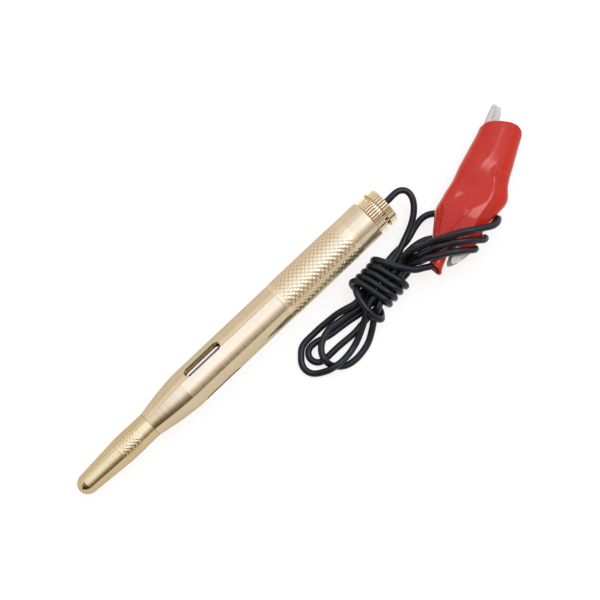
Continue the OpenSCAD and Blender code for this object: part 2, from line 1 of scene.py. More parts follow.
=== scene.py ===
"""The looks of the test light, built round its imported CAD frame. Lengths in the tables are in
millimetres and become metres through mm() or MM. Material patterns, floor and lamp are in metres."""
import math

import bpy
import numpy as np
from mathutils import Matrix, Vector


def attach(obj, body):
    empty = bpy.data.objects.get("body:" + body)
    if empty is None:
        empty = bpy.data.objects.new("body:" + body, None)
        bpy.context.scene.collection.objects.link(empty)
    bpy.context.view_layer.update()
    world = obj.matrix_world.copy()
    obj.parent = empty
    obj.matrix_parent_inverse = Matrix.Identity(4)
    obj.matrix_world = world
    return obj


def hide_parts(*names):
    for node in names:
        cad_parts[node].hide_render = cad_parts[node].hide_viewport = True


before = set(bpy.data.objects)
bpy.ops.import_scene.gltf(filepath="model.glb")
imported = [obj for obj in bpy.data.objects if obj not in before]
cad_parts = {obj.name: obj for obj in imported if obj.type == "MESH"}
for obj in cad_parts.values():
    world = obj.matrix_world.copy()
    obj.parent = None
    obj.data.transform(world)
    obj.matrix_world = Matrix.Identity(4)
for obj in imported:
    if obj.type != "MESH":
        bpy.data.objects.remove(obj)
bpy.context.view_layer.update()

MM = 0.001

# The pen lies along X. Places on it are measured back from the front of its tip cap.
PEN_FRONT = -60.0
PEN_AXIS = 6.0
BARREL_RADIUS = 6.0
BARREL_KNURL = (78.2, 106.8)
BARREL_KNURL_STARTS = 23
CAP_KNURL = (15.6, 23.4)
CAP_KNURL_RADIUS = 4.0
CAP_KNURL_STARTS = 20
END_CAP_START = 113.4
END_CAP_FLUTES = 43


def mm(points):
    return np.asarray(points, float) * MM


# Camera, fitted to the photograph
PHOTO_TURN = math.radians(-43.616)
PHOTO_TILT = math.radians(82.5)
PHOTO_DISTANCE = 700
PHOTO_TARGET = (23.056, -3.492, 6.0)
PHOTO_HALF_WIDTH = 86.16
SENSOR_WIDTH = 36
NEAREST, FARTHEST = 0.01, 50


def add_camera():
    right = Vector((math.cos(PHOTO_TURN), math.sin(PHOTO_TURN), 0))
    ground_up = Vector((-math.sin(PHOTO_TURN), math.cos(PHOTO_TURN), 0))
    look = ground_up * math.cos(PHOTO_TILT) - Vector((0, 0, math.sin(PHOTO_TILT)))
    up = right.cross(look)
    data = bpy.data.cameras.new("camera")
    data.sensor_fit = "HORIZONTAL"
    data.sensor_width = SENSOR_WIDTH
    data.lens = SENSOR_WIDTH * PHOTO_DISTANCE / (2 * PHOTO_HALF_WIDTH)
    data.clip_start, data.clip_end = NEAREST, FARTHEST
    camera = bpy.data.objects.new("camera", data)
    bpy.context.scene.collection.objects.link(camera)
    place = (Vector(PHOTO_TARGET) - PHOTO_DISTANCE * look) * MM
    turn = Matrix((right, up, -look)).transposed()
    camera.matrix_world = Matrix.Translation(place) @ turn.to_4x4()
    bpy.context.scene.camera = camera


add_camera()


# Helpers for shapes
def spline(points, step):
    """A natural cubic spline through the points, sampled about every step of its length."""
    p = np.asarray(points, float)
    n = len(p)
    h = np.linalg.norm(np.diff(p, axis=0), axis=1)
    t = np.concatenate([[0], np.cumsum(h)])
    a = np.zeros((n, n))
    b = np.zeros_like(p)
    a[0, 0] = a[-1, -1] = 1
    for i in range(1, n - 1):
        a[i, i - 1 : i + 2] = h[i - 1], 2 * (h[i - 1] + h[i]), h[i]
        b[i] = 6 * ((p[i + 1] - p[i]) / h[i] - (p[i] - p[i - 1]) / h[i - 1])
    m = np.linalg.solve(a, b)
    q = np.linspace(0, t[-1], int(round(t[-1] / step)) + 1)
    i = np.clip(np.searchsorted(t, q, side="right") - 1, 0, n - 2)
    left, right, gap = (t[i + 1] - q)[:, None], (q - t[i])[:, None], h[i][:, None]
    curve = (m[i] * left**3 + m[i + 1] * right**3) / (6 * gap)
    return curve + (p[i] / gap - m[i] * gap / 6) * left + (p[i + 1] / gap - m[i + 1] * gap / 6) * right


def smooth(low, high, x):
    """0 up to low, 1 from high on, and an even rise between. It falls where low is above high."""
    t = np.clip((np.asarray(x, float) - low) / (high - low), 0, 1)
    return t * t * (3 - 2 * t)


def ring_quads(count, around):
    """Faces through rows of points, each row a closed ring; the last row joins the first."""
    row, at = np.arange(count)[:, None] * around, np.arange(around)[None, :]
    next_row, next_at = (row + around) % (count * around), (at + 1) % around
    corners = [row + at, row + next_at, next_row + next_at, next_row + at]
    return np.stack(corners, -1).reshape(-1, 4)


def ringed_piece(name, rows, body):
    return mesh_piece(name, rows.reshape(-1, 3), ring_quads(*rows.shape[:2]), body)


def mesh_piece(name, points, faces, body):
    data = bpy.data.meshes.new(name)
    data.from_pydata(points.tolist(), [], faces.tolist())
    data.polygons.foreach_set("use_smooth", [True] * len(data.polygons))
    data.update()
    piece = bpy.data.objects.new(name, data)
    bpy.context.scene.collection.objects.link(piece)
    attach(piece, body)
    return piece


def round_pen(x, radius, angle):
    """Points round the pen's axis, x from the pen's front. None goes below the floor."""
    x, radius, angle = np.broadcast_arrays(x, radius, angle)
    z = np.maximum(radius * np.cos(angle) + PEN_AXIS, 0)
    return np.stack([x + PEN_FRONT, radius * np.sin(angle), z], -1)


# Materials
class Graph:
    """A node tree, with the node helpers that the finishes and the sky need."""

    def __init__(self, tree):
        self.nodes, self.links = tree.nodes, tree.links

    def feed(self, sockets, values):
        """Gives each socket its value: a number, or another node's output."""
        for socket, value in zip(sockets, values):
            if isinstance(value, (int, float)):
                socket.default_value = value
            else:
                self.links.new(value, socket)

    def math(self, kind, *values):
        node = self.nodes.new("ShaderNodeMath")
        node.operation = kind
        self.feed(node.inputs, values)
        return node.outputs[0]

    def ramp(self, value, stops):
        """Colours along a value. Each stop is a place from 0 to 1, and a colour or one grey number."""
        node = self.nodes.new("ShaderNodeValToRGB")
        elements = node.color_ramp.elements
        while len(elements) < len(stops):
            elements.new(0.5)
        for element, (at, colour) in zip(elements, stops):
            element.position = at
            element.color = (*colour, 1) if hasattr(colour, "__len__") else (colour,) * 3 + (1,)
        self.links.new(value, node.inputs["Fac"])
        return node.outputs["Color"]

    def mix(self, kind, share, a, b):
        node = self.nodes.new("ShaderNodeMix")
        node.data_type = "RGBA"
        node.blend_type = kind
        node.clamp_factor = False
        colours = [socket for socket in node.inputs if socket.type == "RGBA"]
        self.feed([node.inputs[0]] + colours, (share, a, b))
        return next(socket for socket in node.outputs if socket.type == "RGBA")


class Finish(Graph):
    """A material round one Principled shader, with patterns that lie in the piece's own frame."""

    def __init__(self, name, colour, **sockets):
        self.material = bpy.data.materials.new(name)
        self.material.use_nodes = True
        super().__init__(self.material.node_tree)
        self.shader = next(n for n in self.nodes if n.type == "BSDF_PRINCIPLED")
        self.shader.inputs["Base Color"].default_value = (*colour, 1)
        for socket, value in sockets.items():
            self.shader.inputs[socket.replace("_", " ")].default_value = value
        self.place = self.nodes.new("ShaderNodeTexCoord").outputs["Object"]

    def noise(self, scale, detail, rough, stretch=(1, 1, 1), turn=(0, 0, 0)):
        mapping = self.nodes.new("ShaderNodeMapping")
        mapping.inputs["Scale"].default_value = stretch
        mapping.inputs["Rotation"].default_value = turn
        self.links.new(self.place, mapping.inputs["Vector"])
        node = self.nodes.new("ShaderNodeTexNoise")
        node.inputs["Scale"].default_value = scale
        node.inputs["Detail"].default_value = detail
        node.inputs["Roughness"].default_value = rough
        self.links.new(mapping.outputs["Vector"], node.inputs["Vector"])
        return node.outputs["Fac"]

    def blend(self, a, b, share):
        """The first pattern by its share and the second by the rest."""
        return self.math("ADD", self.math("MULTIPLY", a, share), self.math("MULTIPLY", b, 1 - share))

    def spread(self, value, low, high, start=0.3, end=0.7):
        """Low at start, high at end and beyond."""
        node = self.nodes.new("ShaderNodeMapRange")
        for socket, number in zip(("From Min", "From Max", "To Min", "To Max"), (start, end, low, high)):
            node.inputs[socket].default_value = number
        self.links.new(value, node.inputs["Value"])
        return node.outputs["Result"]

    def axis(self, letter):
        node = self.nodes.new("ShaderNodeSeparateXYZ")
        self.links.new(self.place, node.inputs[0])
        return node.outputs[letter]

    def pen_angle(self):
        return self.math("ARCTAN2", self.axis("Y"), self.math("ADD", self.axis("Z"), -PEN_AXIS * MM))

    def bump(self, height, distance):
        node = self.nodes.new("ShaderNodeBump")
        node.inputs["Distance"].default_value = distance
        self.links.new(height, node.inputs["Height"])
        self.links.new(node.outputs["Normal"], self.shader.inputs["Normal"])

    def drive(self, socket, value):
        self.links.new(value, self.shader.inputs[socket])


METAL_TINT = (0.75, 0.68, 0.55, 1)
# How deep the fine marks are
TURNING_MARKS, SHEET_MARKS, SKIN_MARKS, FIBRE_MARKS = 1.6e-5, 6e-6, 2.5e-5, 2e-5
# Where along X a metal with aft goes over to its look at the rear, and how metallic it is there
AFT_FROM, AFT_TO = -0.005, 0.045
AFT_METALLIC = 0.74
# The painted shade in the grip's grooves sets in over these lengths behind its front edge, fades over these
# before its rear edge, and rises between these depths of a groove
GRIP_SHADE_FRONT = (0.6, 2.5)
GRIP_SHADE_REAR = (4.8, 1.0)
GRIP_SHADE_DEPTH = (0.45, 1.0)
SHEET_GRAIN = math.radians(-28)


def turned_metal(name, colour, dark=None, rough=(0.05, 0.12), comb=1.0, metallic=1.0, aft=0.0):
    """Metal turned on a lathe round the X axis: fine rings that tilt the surface a little along the axis.

    comb is how strong the rings are, aft how much rougher the metal gets towards the rear. Without a dark
    colour the caller drives the colour.
    """
    f = Finish(name, colour, Metallic=metallic, Specular_Tint=METAL_TINT)
    fine = f.noise(2300, 3, 0.62, stretch=(1, 0.012, 0.012))
    broad = f.noise(700, 2, 0.5, stretch=(1, 0.03, 0.03))
    wear = f.noise(160, 4, 0.6)
    if dark:
        f.drive("Base Color", f.ramp(f.blend(fine, wear, 0.3), [(0.34, dark), (0.58, colour)]))
    polish = f.spread(f.blend(broad, wear, 0.4), *rough, 0.36, 0.64)
    if aft:
        polish = f.math("ADD", polish, f.spread(f.axis("X"), 0, aft, AFT_FROM, AFT_TO))
        f.drive("Metallic", f.spread(f.axis("X"), metallic, AFT_METALLIC, AFT_FROM, AFT_TO))
    f.drive("Roughness", polish)
    f.bump(fine, TURNING_MARKS * comb)
    return f


def fluted_metal():
    """The end cap's brass, with painted shade in the hollows between its flutes and lighter colour on their
    crests.
    """
    f = turned_metal("end_brass", (0.66, 0.52, 0.315), rough=(0.08, 0.18), comb=0.4)
    wave = f.math("COSINE", f.math("MULTIPLY", f.pen_angle(), float(END_CAP_FLUTES)))
    # painted shade: dark brown down in the flutes' hollows, painted lighter on their crests
    stops = [(0.22, (0.27, 0.17, 0.07)), (0.42, (0.66, 0.52, 0.32)), (0.55, (0.76, 0.62, 0.41))]
    f.drive("Base Color", f.ramp(f.spread(wave, 0, 1, -1, 1), stops))
    return f


def knurled_metal():
    """The grip's brass, with painted shade darkening its colour down in the two crossed sets of grooves."""
    f = turned_metal("knurled_brass", (0.64, 0.51, 0.33), rough=(0.14, 0.23), comb=0.3, metallic=0.78)
    start, end = BARREL_KNURL
    length = (end - start) * MM
    along = f.math("ADD", f.axis("X"), -(start + PEN_FRONT) * MM)
    turns = f.math("MULTIPLY", f.pen_angle(), float(BARREL_KNURL_STARTS))
    travel = f.math("MULTIPLY", along, BARREL_KNURL_STARTS / (BARREL_RADIUS * MM))
    groove = f.math("MAXIMUM", f.math("COSINE", f.math("ADD", travel, turns)),
                    f.math("COSINE", f.math("SUBTRACT", travel, turns)))
    front = f.spread(along, 0, 1, *(at * MM for at in GRIP_SHADE_FRONT))
    rear = f.spread(along, 1, 0, *(length - at * MM for at in GRIP_SHADE_REAR))
    # painted shade: the base colour darkens down in the grooves, less so near the band's ends
    groove_shade = f.math("MULTIPLY", f.spread(groove, 0, 1, *GRIP_SHADE_DEPTH), f.math("MULTIPLY", front, rear))
    f.drive("Base Color", f.ramp(groove_shade, [(0, (0.64, 0.51, 0.335)), (1, (0.46, 0.345, 0.2))]))
    return f


def nickel_sheet():
    f = Finish("nickel", (0.43, 0.385, 0.335), Metallic=0.35, Specular_IOR_Level=0.3)
    grain = f.noise(1500, 3, 0.6, stretch=(0.08, 1, 1), turn=(0, 0, SHEET_GRAIN))
    cloud = f.noise(300, 4, 0.6)
    f.drive("Base Color", f.ramp(cloud, [(0.32, (0.37, 0.33, 0.28)), (0.6, (0.43, 0.385, 0.335))]))
    f.drive("Roughness", f.spread(grain, 0.42, 0.55))
    f.bump(f.math("ADD", grain, cloud), SHEET_MARKS)
    return f


def soft_plastic(name, colour, dark, rough, grain, **sockets):
    f = Finish(name, colour, **sockets)
    skin = f.noise(900, 3, 0.5)
    cloud = f.noise(110, 3, 0.55)
    f.drive("Base Color", f.ramp(cloud, [(0.3, dark), (0.62, colour)]))
    f.drive("Roughness", f.spread(f.blend(skin, cloud, 0.5), *rough))
    f.bump(f.math("ADD", f.math("MULTIPLY", skin, 0.35), cloud), SKIN_MARKS * grain)
    return f


def clear_glass():
    f = Finish("lamp_glass", (0.80, 0.82, 0.88), Transmission_Weight=0.6, IOR=1.9,
               Coat_Weight=1.0, Coat_IOR=1.9, Coat_Roughness=0.03)
    wave = f.noise(220, 2, 0.5, stretch=(0.25, 1, 1))
    f.drive("Roughness", f.spread(wave, 0.03, 0.08))
    return f


def rolled_fibre():
    f = Finish("fibre", (0.36, 0.2, 0.07), Specular_IOR_Level=0.35)
    strands = f.noise(1600, 4, 0.65, stretch=(0.12, 1, 1))
    f.drive("Base Color", f.ramp(strands, [(0.3, (0.24, 0.12, 0.04)), (0.65, (0.42, 0.25, 0.1))]))
    f.drive("Roughness", f.spread(strands, 0.55, 0.75))
    f.bump(strands, FIBRE_MARKS)
    return f


brass = turned_metal("brass", (0.60, 0.488, 0.332), (0.56, 0.445, 0.292), comb=1.8, aft=0.1).material
cap_brass = turned_metal("cap_brass", (0.56, 0.445, 0.262), (0.51, 0.395, 0.22), comb=1.4).material
knurled_brass = knurled_metal().material
end_brass = fluted_metal().material
holder_brass = turned_metal("holder_brass", (0.62, 0.45, 0.22), (0.5, 0.34, 0.15), (0.25, 0.4)).material
steel = turned_metal("steel", (0.62, 0.62, 0.63), (0.5, 0.5, 0.5), (0.15, 0.3), 0.5).material
lamp_metal = turned_metal("lamp_metal", (0.66, 0.65, 0.62), (0.5, 0.48, 0.45), (0.2, 0.35), 0.4).material
nickel = nickel_sheet().material
boot_red = soft_plastic("boot_red", (0.45, 0.024, 0.012), (0.40, 0.018, 0.010), (0.13, 0.21), 0.7,
                        Subsurface_Weight=0.05, Subsurface_Scale=0.001,
                        Specular_IOR_Level=0.24, Specular_Tint=(1, 0.72, 0.64, 1)).material
lead_black = soft_plastic("lead_black", (0.008, 0.0076, 0.0084), (0.006, 0.0057, 0.0064), (0.24, 0.33), 0.5,
                          Specular_IOR_Level=0.29, Specular_Tint=(0.9, 0.89, 0.95, 1)).material
pale_plastic = soft_plastic("pale_plastic", (0.68, 0.64, 0.53), (0.6, 0.56, 0.45), (0.35, 0.5), 0.5).material
fibre = rolled_fibre().material
copper = turned_metal("copper", (0.62, 0.29, 0.15), (0.45, 0.2, 0.1), (0.25, 0.4)).material
glass = clear_glass().material

NODE_FINISHES = {
    "barrel": brass, "probe_cap": cap_brass, "end_cap": end_brass,
    "needle": steel, "needle_holder": holder_brass, "nose_bush": pale_plastic,
    "lamp_front_cap": lamp_metal, "lamp_rear_cap": lamp_metal, "lamp_glass": glass, "lamp_filament": steel,
    "insulating_sleeve": fibre, "contact_spring": steel, "contact_terminal": holder_brass,
    "inner_conductor": copper, "inner_lead": lead_black, "sleeve_plug": pale_plastic, "cord_bush": lead_black,
    "clip_fixed_arm": nickel, "clip_lever_arm": nickel, "clip_pivot_pin": nickel, "clip_spring": steel,
    "clip_wire_end": copper,
}
for node, finish in NODE_FINISHES.items():
    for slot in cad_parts[node].material_slots:
        slot.material = finish

# The lead, from the pen's end cap through the hank to the clip's crimp
LEAD_DIAMETER = 2.0
LEAD_STEP = 0.45
LEAD_ROUTE = [
    (60, 0, 6), (62, 0.03, 6), (63.99, 0.11, 5.93), (65.94, -0.28, 5.79), (67.27, -1.69, 5.54),
    (67.34, -3.62, 5.24), (66.53, -5.41, 4.93), (65.26, -6.92, 4.6), (63.77, -8.2, 4.25),
    (62.12, -9.28, 3.92), (60.34, -10.17, 3.69), (58.49, -10.93, 3.6), (56.63, -11.65, 3.64),
    (54.8, -12.42, 3.89), (52.99, -13.17, 4.25), (51.11, -13.71, 4.63), (49.15, -13.8, 4.94),
    (47.16, -14, 5.13), (45.19, -14.29, 5.21), (43.23, -14.68, 5.21), (41.31, -15.12, 4.99),
    (39.49, -15.57, 4.47), (37.83, -16.01, 3.54), (35.96, -16.42, 3.16), (34.01, -16.64, 2.95),
    (32.06, -16.24, 2.75), (30.1, -15.86, 2.63), (28.12, -15.63, 2.71), (26.15, -15.32, 2.85),
    (24.17, -15.11, 2.97), (22.19, -15.4, 3.07), (20.3, -16.04, 3.12), (18.6, -17.07, 3.12),
    (17.28, -18.56, 3.16), (16.54, -20.38, 3.16), (16.61, -22.1, 2.29), (17.32, -23.58, 1.23),
    (18.64, -25.05, 1.03), (20.34, -26.08, 1.03), (22.28, -26.53, 1.04), (24.28, -26.58, 1.04),
    (26.26, -26.35, 1.04), (28.21, -25.92, 1.17), (30.03, -25.19, 1.53), (31.68, -24.22, 2.11),
    (33.25, -23.17, 2.78), (34.8, -22.06, 3.33), (36.36, -21.3, 4.19), (37.89, -20.56, 5.14),
    (39.72, -19.78, 5.18), (41.66, -19.39, 5.19), (43.61, -19, 5.2), (45.57, -18.59, 5.18),
    (47.52, -18.24, 5.07), (49.49, -18.05, 5.11), (51.35, -17.9, 5.56), (52.99, -18.32, 6.49),
    (54.33, -18.75, 7.84), (55.45, -19.53, 9.3), (56.7, -20.09, 10.75), (58.19, -21.04, 11.66),
    (59.86, -22.04, 12.12), (61.59, -23, 12.37), (63.31, -24.02, 12.36), (64.96, -25.11, 12.04),
    (66.49, -26.16, 11.33), (67.88, -27.06, 10.22), (69.06, -27.72, 8.77), (69.84, -27.65, 6.95),
    (69.83, -27.28, 5.01), (69.31, -26.7, 3.17), (68.4, -25.78, 1.7), (67.09, -24.39, 1.14),
    (65.85, -22.83, 1.03), (64.6, -21.27, 1.04), (63.23, -19.81, 1.05), (61.64, -18.6, 1.05),
    (59.85, -17.73, 1.04), (57.89, -17.36, 1.05), (55.9, -17.52, 1.15), (54, -18.05, 1.43),
    (52.14, -18.61, 1.9), (50.26, -18.97, 2.48), (48.34, -19, 3.01), (46.37, -19.08, 3.09),
    (44.37, -19.08, 3.07), (42.38, -19.2, 3.09), (40.42, -19.57, 3.09), (38.52, -20.13, 3.1),
    (36.74, -20.25, 2.3), (34.84, -20.31, 1.78), (32.9, -20.39, 1.32), (30.93, -20.59, 1.08),
    (28.94, -20.8, 1.03), (26.94, -20.8, 1.04), (24.95, -20.67, 1.05), (22.95, -20.54, 1.05),
    (20.95, -20.5, 1.05), (18.95, -20.52, 1.05), (16.96, -20.46, 1.03), (15.06, -19.97, 1.06),
    (13.95, -18.4, 1.14), (14.13, -16.54, 1.06), (15.52, -15.22, 1.06), (17.49, -15.01, 1.05),
    (19.44, -15.39, 1.05), (21.33, -16.03, 1.04), (23.29, -16.46, 1.05), (25.27, -16.69, 1.05),
    (27.26, -16.92, 1.04), (29.24, -17.17, 1.03), (31.22, -17.51, 1.03), (33.17, -17.89, 1.13),
    (35.08, -18.21, 1.61), (36.9, -18.12, 2.36), (38.67, -17.99, 3.15), (40.55, -17.34, 3.14),
    (42.51, -16.96, 3.1), (44.5, -16.81, 3.07), (46.49, -16.85, 3.08), (48.48, -16.87, 3.07),
    (50.47, -16.85, 3.32), (52.34, -16.88, 3.98), (53.94, -16.98, 5.16), (55.39, -17.28, 6.5),
    (56.52, -17.89, 8.03), (57.75, -18.61, 9.42), (59.27, -19.31, 10.51), (60.79, -19.85, 11.67),
    (62.54, -20.69, 12.1), (64.3, -21.62, 12.31), (66.02, -22.62, 12.5), (67.68, -23.71, 12.36),
    (69.27, -24.82, 11.86), (70.71, -25.98, 11.09), (72.04, -26.97, 9.98), (73.22, -27.55, 8.49),
    (74.09, -27.37, 6.73), (74.11, -26.79, 4.84), (73.36, -25.98, 3.18), (72.1, -25.07, 1.94),
    (70.62, -23.94, 1.25), (69.19, -22.56, 1.05), (67.87, -21.06, 1.04), (66.63, -19.49, 1.04),
    (65.33, -17.97, 1.05), (63.89, -16.59, 1.05), (62.21, -15.51, 1.04), (60.33, -14.83, 1.06),
    (58.36, -14.51, 1.16), (56.39, -14.46, 1.49), (54.46, -14.55, 2.01), (52.55, -14.68, 2.57),
    (50.57, -14.78, 2.86), (48.58, -14.75, 3.06), (46.59, -14.72, 3.12), (44.59, -14.63, 3.13),
    (42.61, -14.42, 3.12), (40.64, -14.14, 3.09), (38.72, -13.9, 3.39), (37.04, -14.23, 4.36),
    (35.2, -14.97, 4.5), (33.24, -14.93, 4.3), (31.35, -14.38, 3.98), (29.49, -13.84, 3.46),
    (27.64, -13.44, 2.81), (25.77, -13.24, 2.15), (23.85, -13.06, 1.62), (21.89, -12.92, 1.25),
    (19.9, -12.9, 1.05), (17.9, -12.89, 1.03), (15.91, -13, 1.03), (14.05, -13.65, 1.05),
    (12.57, -14.97, 1.04), (11.28, -16.49, 1.04), (10.63, -18.36, 1.03), (10.99, -20.3, 1.07),
    (12.2, -21.83, 1.41), (13.75, -22.86, 2.12), (15.4, -23.68, 2.9), (17.26, -24.12, 3.27),
    (19.23, -24.4, 3.07), (21.17, -24.37, 2.61), (23.11, -24.14, 2.16), (25.04, -23.72, 1.92),
    (26.95, -23.15, 2.12), (28.73, -22.39, 2.61), (30.45, -21.55, 3.19), (32.13, -20.63, 3.77),
    (33.76, -19.63, 4.34), (35.46, -18.67, 4.79), (37.21, -17.75, 5.06), (39.14, -17.56, 5.34),
    (41.1, -17.33, 5.27), (43.05, -16.92, 5.21), (45, -16.52, 5.2), (46.96, -16.17, 5.09),
    (48.94, -15.97, 5.04), (50.9, -15.74, 5.28), (52.75, -15.27, 5.84), (54.45, -15.27, 6.89),
    (56.1, -15.57, 7.97), (57.7, -16.25, 8.94), (59.28, -17.01, 9.91), (60.93, -17.65, 10.84),
    (62.51, -18.31, 11.87), (64.15, -19.19, 12.57), (65.87, -20.15, 12.93), (67.66, -21.02, 13.11),
    (69.43, -21.94, 13.1), (71.12, -23, 12.95), (72.81, -24, 12.54), (74.47, -24.9, 11.91),
    (76.06, -25.82, 11.11), (77.61, -26.45, 10.03), (79.06, -26.57, 8.67), (80.25, -26.18, 7.13),
    (80.94, -25.7, 5.32), (80.77, -25.33, 3.4), (79.66, -24.63, 1.93), (78.01, -23.78, 1.22),
    (76.14, -23.19, 1.04), (74.5, -22.34, 1.03), (73.38, -20.73, 1.03), (72.71, -18.84, 1.04),
    (72.1, -16.94, 1.05), (71.43, -15.05, 1.05), (70.56, -13.26, 1.05), (69.32, -11.69, 1.05),
    (67.65, -10.62, 1.05), (65.71, -10.16, 1.05), (63.73, -10.33, 1.05), (61.78, -10.77, 1.04),
    (59.86, -11.36, 1.06), (57.93, -11.86, 1.16), (55.98, -12.06, 1.51), (54.03, -12.13, 1.94),
    (52.11, -12.24, 2.51), (50.16, -12.47, 2.87), (48.17, -12.58, 3.05), (46.18, -12.59, 3.18),
    (44.2, -12.5, 3.34), (42.26, -12.34, 3.62), (40.38, -12.22, 4.08), (38.55, -11.91, 4.68),
    (37.04, -12.2, 5.88), (36.18, -13.28, 7.01), (35.51, -15.06, 7.23), (35.17, -17.03, 7.14),
    (35, -19.01, 6.93), (35.08, -20.92, 6.39), (35.42, -22.65, 5.47), (36.29, -23.44, 3.94),
    (37.12, -22.83, 2.28), (38.08, -21.48, 1.2), (38.49, -19.6, 1.03), (38.47, -17.62, 1.03),
    (38.03, -15.67, 1.04), (37.65, -13.72, 1.22), (37.34, -11.84, 1.81), (37.27, -10.46, 3.23),
    (37.7, -10.04, 5.08), (38.52, -10.87, 6.62), (39, -12.69, 7.17), (39.52, -14.62, 7.19),
    (39.92, -16.58, 7.22), (40.36, -18.52, 7.24), (40.78, -20.43, 7.03), (41.03, -21.64, 5.52),
    (41.11, -21.95, 3.56), (41.03, -21.14, 1.79), (40.85, -19.38, 1.03), (40.64, -17.39, 1.03),
    (40.46, -15.4, 1.03), (40.3, -13.42, 1.1), (40.06, -11.54, 1.7), (39.91, -10.34, 3.25),
    (40.25, -10.37, 5.15), (40.81, -11.61, 6.58), (41.4, -13.39, 7.18), (41.82, -15.34, 7.22),
    (42.25, -17.29, 7.28), (42.69, -19.24, 7.24), (43.15, -20.88, 6.33), (43.38, -21.7, 4.56),
    (43.31, -21.44, 2.61), (43.12, -20.04, 1.25), (42.9, -18.09, 1.03), (42.7, -16.1, 1.03),
    (42.56, -14.11, 1.03), (42.27, -12.16, 1.31), (42.1, -10.61, 2.46), (42.24, -10.18, 4.33),
    (42.73, -10.86, 6.09), (43.35, -12.48, 7.04), (43.84, -14.4, 7.26), (44.22, -16.36, 7.23),
    (44.68, -18.3, 7.22), (45.25, -20.11, 6.75), (45.69, -21.27, 5.25), (45.78, -21.44, 3.3),
    (45.58, -20.5, 1.64), (45.34, -18.7, 1.03), (45.07, -16.72, 1.03), (44.82, -14.73, 1.03),
    (44.54, -12.76, 1.11), (44.23, -10.99, 1.87), (44.25, -10.14, 3.61), (44.68, -10.33, 5.51),
    (45.28, -11.64, 6.84), (45.95, -13.47, 7.22), (46.48, -15.39, 7.17), (47.02, -17.32, 7.18),
    (47.57, -19.21, 6.96), (48.02, -20.75, 5.86), (48.15, -21.44, 4.01), (47.98, -20.92, 2.15),
    (47.63, -19.36, 1.09), (47.33, -17.39, 1.03), (47.05, -15.41, 1.03), (46.78, -13.43, 1.05),
    (46.5, -11.5, 1.39), (46.29, -10.05, 2.65), (46.53, -9.6, 4.54), (47.03, -10.32, 6.28),
    (47.73, -11.9, 7.25), (48.59, -13.69, 7.48), (49.55, -15.44, 7.59), (50.6, -17.13, 7.73),
    (51.68, -18.78, 8.07), (52.95, -20.3, 8.25), (54.65, -21.31, 8.44), (56.33, -22.36, 8.64),
    (58.2, -22.96, 8.59), (60.08, -22.32, 8.47), (61.83, -21.36, 8.35), (63.58, -20.41, 8.2),
]


def add_lead():
    line = spline(LEAD_ROUTE, LEAD_STEP)
    line[:, 2] = np.maximum(line[:, 2], LEAD_DIAMETER / 2)
    data = bpy.data.curves.new("lead", "CURVE")
    data.dimensions = "3D"
    data.bevel_depth = LEAD_DIAMETER / 2 * MM
    data.bevel_resolution = 4
    data.use_fill_caps = True
    thread = data.splines.new("POLY")
    thread.points.add(len(line) - 1)
    thread.points.foreach_set("co", np.column_stack([mm(line), np.ones(len(line))]).ravel())
    thread.use_smooth = True
    piece = bpy.data.objects.new("lead", data)
    data.materials.append(lead_black)
    bpy.context.scene.collection.objects.link(piece)
    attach(piece, "test_light")
    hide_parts("cord_lead", "cord_loop_1", "cord_loop_2", "cord_loop_3", "cord_tail",
                "cord_hank_wrap", "cord_hank_loops", "clip_lead_end")


add_lead()

# Knurled bands. The base stands a little off the CAD's surface, and the closed underside is buried in it.
KNURL_LIFT = 0.012
KNURL_BURIED = 0.12
# Both grooves' half widths as shares of their pitch, and the power that rounds their flanks
GROOVE_WIDTHS = (0.3, 0.27)
GROOVE_ROUNDING = 0.8
# How much of each end stays plain, and the sines between which the rear's run-out sets in
PLAIN_EDGE = 0.3
RUN_OUT_SPAN = (-0.3, 0.6)


def add_knurl(name, body, finish, band, radius, stand, starts, steps, fade, run_out, deep):
    """Diamond knurling stood on a turned part: two crossed helical grooves at 45 degrees.

    The diamonds stand by stand, with steps points to one, and deep gives the depth of both grooves as
    shares of it. They fade out over fade at both ends, and earlier by run_out at the rear's +Y side.
    """
    start, end = band
    angle = np.linspace(0, 2 * np.pi, starts * steps, endpoint=False)
    length = end - start
    pitch = 2 * np.pi * radius / starts
    along = np.linspace(0, length, int(round(length / (pitch / steps))) + 1)
    a, x = np.meshgrid(angle, along)
    turns = a * starts / (2 * np.pi)

    def groove(phase, width):
        off = phase % 1
        return np.clip(1 - np.minimum(off, 1 - off) / width, 0, 1) ** GROOVE_ROUNDING

    cuts = [share * groove(x / pitch + way * turns, width)
            for share, way, width in zip(deep, (1, -1), GROOVE_WIDTHS)]
    depth = np.clip(np.maximum(*cuts), 0, 1)
    cut_short = run_out * smooth(*RUN_OUT_SPAN, np.sin(a))
    edge = smooth(PLAIN_EDGE, fade, x) * smooth(PLAIN_EDGE, fade, length - x - cut_short)
    outer = round_pen(x + start, radius + KNURL_LIFT + stand * (1 - depth) * edge, a)
    inner = round_pen([[end], [start]], radius - KNURL_BURIED, angle)
    piece = ringed_piece(name, mm(np.concatenate([outer, inner])), body)
    piece.data.materials.append(finish)


add_knurl("barrel_knurl", "test_light", knurled_brass, BARREL_KNURL, BARREL_RADIUS, stand=0.1,
          starts=BARREL_KNURL_STARTS, steps=10, fade=3.0, run_out=3.0, deep=(1.0, 0.8))
add_knurl("cap_knurl", "tip_cap", cap_brass, CAP_KNURL, CAP_KNURL_RADIUS, stand=0.085,
          starts=CAP_KNURL_STARTS, steps=8, fade=1.7, run_out=0.6, deep=(1.0, 0.85))

# The end cap, from the barrel back
FRONT_RING, RING_GROOVE, REAR_RING = 3.0, 0.95, 2.65
GROOVE_RADIUS = 5.3
SPIGOT_RADIUS, SPIGOT_LENGTH = 4.85, 6.4
BORE_RADIUS = 1.7
FLUTE_RADIUS, FLUTE_STEPS = 0.3, 14
BEVEL = 0.25
